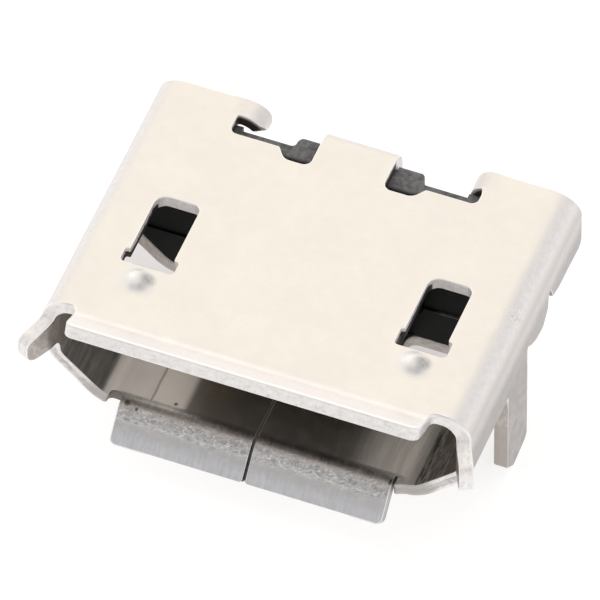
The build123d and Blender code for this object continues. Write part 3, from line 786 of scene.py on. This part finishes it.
    # the cut faces in the seam between the halves of the floor are darkened
    seam = both(m.span(a, 8.60, 8.64), both(m.span(t, -0.68, -0.66), m.span(cut, 0.25, 0.6)))
    seam = both(seam, m.span(t, 0.15, -0.05, 0.0, 1.0))
    col = m.mix(m.math("MULTIPLY", seam, 0.97), col, (0.045, 0.038, 0.032, 1))
    seam_in = both(m.span(a, 8.60, 8.64), both(m.span(t, 0.0, 0.1), m.span(cut, 0.6, 0.95)))
    col = m.mix(m.math("MULTIPLY", seam_in, 0.9), col, (0.16, 0.12, 0.09, 1))
    m.put(m.bsdf.inputs["Base Color"], col)
    dull = both(m.math("MAXIMUM", both(lit_floor_left, 0.55), both(lit_floor_right, 0.30)), face)
    m.put(m.bsdf.inputs["Metallic"], m.math("SUBTRACT", m.span(cut, 0.55, 0.95, 1.0, 0.5), dull))
    rough = m.math("ADD", m.span(mottle, 0.3, 0.7, 0.27, 0.34), both(corner, 0.04))
    rough = m.math("ADD", rough, m.span(cut, 0.4, 1.0, 0.0, 0.20))
    rough = m.math("ADD", rough, both(inside, 0.18))
    m.put(m.bsdf.inputs["Roughness"], rough)
    height = m.math("ADD", m.math("MULTIPLY", grain, 0.12), both(both(rolled, face), 0.25))
    height = m.math("ADD", height, both(both(drawn, flange), 4.0))
    height = m.math("ADD", height, both(both(draw, inside), 2.2))
    height = m.math("ADD", height, both(both(die, m.span(cut, 0.5, 1.0)), 2.4))
    height = m.math("ADD", height, both(both(fleck, corner), 0.4))
    nrm = m.bump(height, 0.35, 0.0000040)
    nrm = m.bump(m.noise(obj, 2.2, 2.0, 0.5), 0.22, 0.000010, nrm)
    nrm = m.bump(both(wrinkle, crease), 0.6, 0.000018, nrm)
    m.link(nrm, m.bsdf.inputs["Normal"])
    return m.mat


def black_plastic():
    m = Nodes("black_plastic")
    obj = m.coords()
    sep = m.add("ShaderNodeSeparateXYZ")
    m.link(obj, sep.inputs[0])
    x, y, z = sep.outputs
    broad = m.noise(obj, 1.4, 3.0, 0.55)
    fine = m.noise(obj, 34.0, 3.0, 0.6)
    scuff_and_sheen = m.noise(obj, 9.0, 4.0, 0.65)
    col = m.mix(m.span(broad, 0.35, 0.7), (0.0028, 0.0028, 0.0024, 1), (0.0060, 0.0060, 0.0058, 1))
    col = m.mix(m.span(fine, 0.45, 0.8, 0.0, 0.4), col, (0.016, 0.016, 0.018, 1))
    # painted light: the rear top, open to the light, is painted a lighter, uneven grey
    rear = m.math("MULTIPLY", m.span(y, 4.24 - Y_LEG, 4.36 - Y_LEG), m.span(z, 1.92, 2.12))
    grey = m.mix(m.span(scuff_and_sheen, 0.35, 0.68), (0.132, 0.128, 0.131, 1), (0.205, 0.199, 0.204, 1))
    col = m.mix(m.math("MULTIPLY", rear, m.span(scuff_and_sheen, 0.22, 0.48, 0.55, 1.0)), col, grey)
    # painted highlight: a broken light line on the arris where the front face steps back, on the right
    edge = m.math("MULTIPLY", m.span(m.math("ABSOLUTE", m.math("SUBTRACT", z, 1.012)), 0.022, 0.006),
                  m.math("MULTIPLY", m.span(y, 3.06 - Y_LEG, 3.02 - Y_LEG), m.span(x, 1.9, 2.2)))
    col = m.mix(m.math("MULTIPLY", edge, m.span(scuff_and_sheen, 0.3, 0.55, 0.5, 1.0)), col, (0.16, 0.155, 0.15, 1))
    m.put(m.bsdf.inputs["Base Color"], col)
    m.put(m.bsdf.inputs["Roughness"], m.span(fine, 0.3, 0.75, 0.44, 0.60))
    m.bsdf.inputs["Specular IOR Level"].default_value = 0.09
    nrm = m.bump(fine, 0.4, 0.0000060)
    m.link(nrm, m.bsdf.inputs["Normal"])
    return m.mat


def gold():
    m = Nodes("contact_gold")
    obj = m.coords()
    n1 = m.noise(obj, 6.0, 3.0, 0.55)
    n2 = m.noise(m.coords((60000, 1500, 60000)), 1.0, 2.0, 0.5)
    col = m.mix(m.span(n1, 0.35, 0.7), (0.42, 0.29, 0.13, 1), (0.56, 0.41, 0.20, 1))
    m.put(m.bsdf.inputs["Base Color"], col)
    m.bsdf.inputs["Metallic"].default_value = 1.0
    m.put(m.bsdf.inputs["Roughness"], m.span(n2, 0.3, 0.7, 0.22, 0.34))
    m.link(m.bump(n2, 0.3, 0.0000030), m.bsdf.inputs["Normal"])
    return m.mat


def dress(ob, mat):
    if not ob.data.materials:
        ob.data.materials.append(mat)
    for sl in ob.material_slots:
        sl.link = "OBJECT"
        sl.material = mat


NICKEL, PLASTIC, GOLD = nickel(), black_plastic(), gold()

shell = sheet_mesh("shell_sheet")
dress(shell, NICKEL)
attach(shell, "root")
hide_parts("shell")

dress(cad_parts["housing"], PLASTIC)
for i in range(1, 6):
    dress(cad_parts[f"contact_{i}"], GOLD)

# =====================================================================
# Stage: a pale floor under the tips of the legs
# =====================================================================
FLOOR_Z = CAD_BOX[0][2] - 2e-6
me = bpy.data.meshes.new("floor")
q = 0.6
me.from_pydata([(-q, -q, FLOOR_Z), (q, -q, FLOOR_Z), (q, q, FLOOR_Z), (-q, q, FLOOR_Z)], [], [(0, 1, 2, 3)])
floor = bpy.data.objects.new("floor", me)
scene.collection.objects.link(floor)
m = Nodes("pale_floor")
soft = m.noise(m.coords((20, 20, 20)), 1.0, 2.0, 0.5)
m.put(m.bsdf.inputs["Base Color"], m.mix(m.span(soft, 0.3, 0.7), (0.42, 0.42, 0.42, 1), (0.44, 0.44, 0.44, 1)))
m.bsdf.inputs["Roughness"].default_value = 0.9
m.bsdf.inputs["Specular IOR Level"].default_value = 0.0
# a white table lit from below, so that nearly no shadow is seen on it
tc = m.add("ShaderNodeTexCoord")
sep = m.add("ShaderNodeSeparateXYZ")
m.link(tc.outputs["Object"], sep.inputs[0])
# painted shadow: the table's glow is dimmed and tinted pink in a soft patch under the part
shadow_patch = m.math("MULTIPLY",
               m.math("MULTIPLY", m.span(sep.outputs[0], -0.0046, -0.0040), m.span(sep.outputs[0], 0.0029, 0.0023)),
               m.math("MULTIPLY", m.span(sep.outputs[1], 0.0001, 0.0009), m.span(sep.outputs[1], 0.0038, 0.0030)))
m.put(m.bsdf.inputs["Emission Color"], m.mix(shadow_patch, (1.0, 0.995, 0.99, 1), (1.0, 0.945, 0.940, 1)))
m.put(m.bsdf.inputs["Emission Strength"], m.math("MULTIPLY_ADD", shadow_patch, -0.30, 0.72))
dress(floor, m.mat)

# =====================================================================
# Light: a white tent, warmer and brighter overhead to the rear, darker round the camera
# =====================================================================
world = bpy.data.worlds.new("world")
scene.world = world
world.use_nodes = True
wt = world.node_tree
bg = wt.nodes["Background"]
sky = wt.nodes.new("ShaderNodeTexCoord").outputs["Generated"]


def lobe(towards, c0, c1):
    """0 to 1 as the direction comes within a cone round towards; c0 and c1 are cosines."""
    v = Vector(towards).normalized()
    d = wt.nodes.new("ShaderNodeVectorMath")
    d.operation = "DOT_PRODUCT"
    wt.links.new(sky, d.inputs[0])
    d.inputs[1].default_value = v
    r = wt.nodes.new("ShaderNodeMapRange")
    r.interpolation_type = "SMOOTHSTEP"
    wt.links.new(d.outputs["Value"], r.inputs[0])
    r.inputs[1].default_value, r.inputs[2].default_value = c0, c1
    return r.outputs[0]


def blend(kind, fac, a, b):
    n = wt.nodes.new("ShaderNodeMix")
    n.data_type, n.blend_type = "RGBA", kind
    wt.links.new(fac, n.inputs["Factor"])
    ins = [i for i in n.inputs if i.type == "RGBA"]
    for sock, v in zip(ins, (a, b)):
        if isinstance(v, tuple):
            sock.default_value = (*v, 1.0)
        else:
            wt.links.new(v, sock)
    return [o for o in n.outputs if o.type == "RGBA"][0]


light = blend("MIX", lobe((-0.236, 0.588, 0.774), 0.40, 0.90), (1.00, 0.995, 0.99), (1.28, 1.245, 1.175))
light = blend("MIX", lobe((-0.24, -0.72, 0.65), 0.76, 0.95), light, (0.51, 0.52, 0.54))
light = blend("MIX", lobe((0.52, -0.25, 0.815), 0.80, 0.97), light, (0.70, 0.70, 0.71))
light = blend("MIX", lobe((0.88, 0.42, 0.22), 0.60, 0.95), light, (0.94, 0.94, 0.95))
wt.links.new(light, bg.inputs[0])
bg.inputs[1].default_value = 1.0

# =====================================================================
# Camera, fitted to the photograph
# =====================================================================
TH, PH, ROLL = math.radians(21.8726), math.radians(50.6765), math.radians(-0.6096)
FPX, DIST = 60.555, 210.2
U0, V0 = 7.500, 1.963
c, s_, C, S_ = math.cos(TH), math.sin(TH), math.cos(PH), math.sin(PH)
r_ = Vector((c, s_, 0))
f_ = Vector((-s_ * C, c * C, -S_))
u_ = r_.cross(f_)
rr = math.cos(ROLL) * r_ + math.sin(ROLL) * u_
uu = math.cos(ROLL) * u_ - math.sin(ROLL) * r_
ref = Vector((0, 2.2 - Y_LEG, 1.3))
axis = ref - rr * (U0 / FPX) + uu * (V0 / FPX)
cam = bpy.data.cameras.new("camera")
cam.sensor_width = 36.0
cam.lens = FPX * DIST / 600 * 36
cam.clip_start, cam.clip_end = 0.01, 10
cam_ob = bpy.data.objects.new("camera", cam)
cam_ob.location = (axis - f_ * DIST) * MM
from mathutils import Matrix
cam_ob.rotation_mode = "QUATERNION"
cam_ob.rotation_quaternion = Matrix((rr, uu, -f_)).transposed().to_quaternion()
scene.collection.objects.link(cam_ob)
scene.camera = cam_ob

scene.view_settings.view_transform = "Standard"
scene.view_settings.look = "None"
scene.view_settings.exposure = 0.0
scene.view_settings.gamma = 1.0
